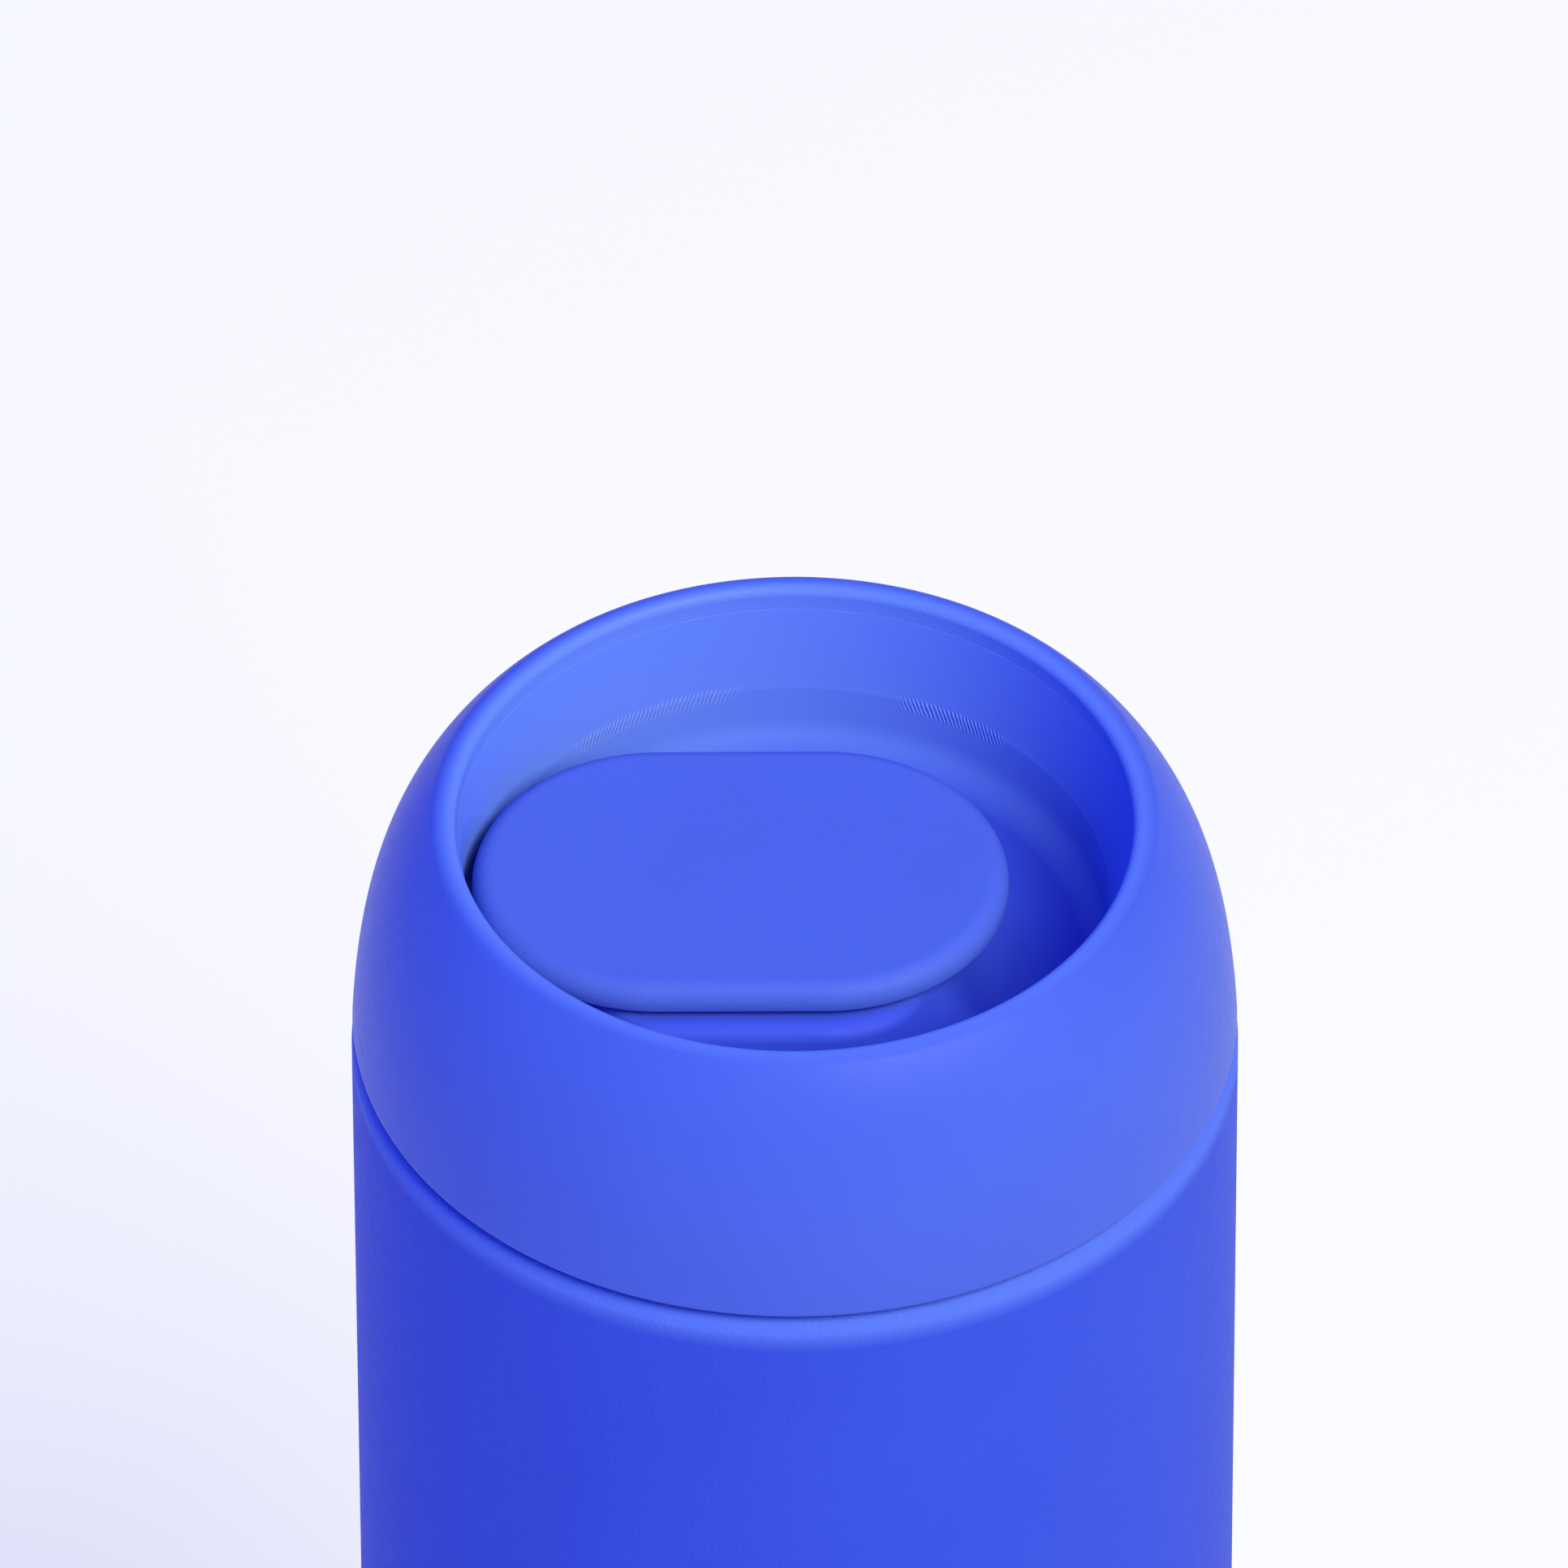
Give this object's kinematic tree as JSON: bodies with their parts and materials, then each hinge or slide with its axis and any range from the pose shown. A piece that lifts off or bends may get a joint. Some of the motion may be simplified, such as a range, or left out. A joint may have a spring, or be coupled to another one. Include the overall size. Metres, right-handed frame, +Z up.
{
  "type": "insulated drinking bottle with a swing-up flap lid",
  "caption": "Double-wall steel drinking bottle with a domed screw lid and a hinged flap that swings up from a spout.",
  "frame": {"origin": "centre of the foot, on the surface the bottle stands on", "axes": "+Z up along the bottle's axis; the flap lies along X with its hinge towards -X and its finger end towards +X"},
  "size_m": [0.073, 0.073, 0.2008],
  "materials": {
    "powder_coat": "fine textured powder coat, cobalt blue, satin",
    "lid_plastic": "soft matte moulded plastic, cobalt blue",
    "dish_plastic": "smooth satin moulded plastic, cobalt blue",
    "flap_plastic": "fine matte moulded plastic, cobalt blue",
    "core_plastic": "charcoal moulded plastic",
    "steel": "bare stainless steel",
    "seal_silicone": "smooth grey silicone",
    "foot_silicone": "matte cobalt blue silicone",
    "foam": "closed-cell insulating foam",
    "getter": "sintered metal powder",
    "bead": "fused solder glass"
  },
  "bodies": {
    "bottle": {"outer_wall": "powder_coat", "outer_base": "steel", "inner_wall": "steel", "inner_base": "steel", "getter_cup": "steel", "getter_tablet": "getter", "seal_bead": "bead", "foot_pad": "foot_silicone"},
    "gasket": {"lid_gasket": "seal_silicone"},
    "lid": {"dome_shell": "lid_plastic", "dish": "dish_plastic", "lid_core": "core_plastic", "core_cap": "core_plastic", "foam_ring": "foam", "tube_oring": "seal_silicone", "core_screws": "steel", "hinge_block": "dish_plastic", "hinge_screws": "steel", "hinge_pin": "steel", "detent_spring": "steel"},
    "flap": {"flap_cover": "flap_plastic", "flap_frame": "core_plastic", "stopper": "seal_silicone"}
  },
  "joints": [
    {"name": "lid_lift", "type": "slide", "parent": "bottle", "child": "gasket", "axis": [0, 0, 1], "range_m": [0, 0.014]},
    {"name": "lid_turn", "type": "hinge", "parent": "gasket", "child": "lid", "pos_m": [0, 0, 0.178], "axis": [0, 0, 1], "range_deg": [0, 1260]},
    {"name": "flap_swing", "type": "hinge", "parent": "lid", "child": "flap", "pos_m": [-0.0174, 0, 0.191], "axis": [0, -1, 0], "range_deg": [0, 95]}
  ],
  "couplings": [
    {"joint": "lid_lift", "follows": "lid_turn", "m_per_rad": 0.00063662}
  ]
}
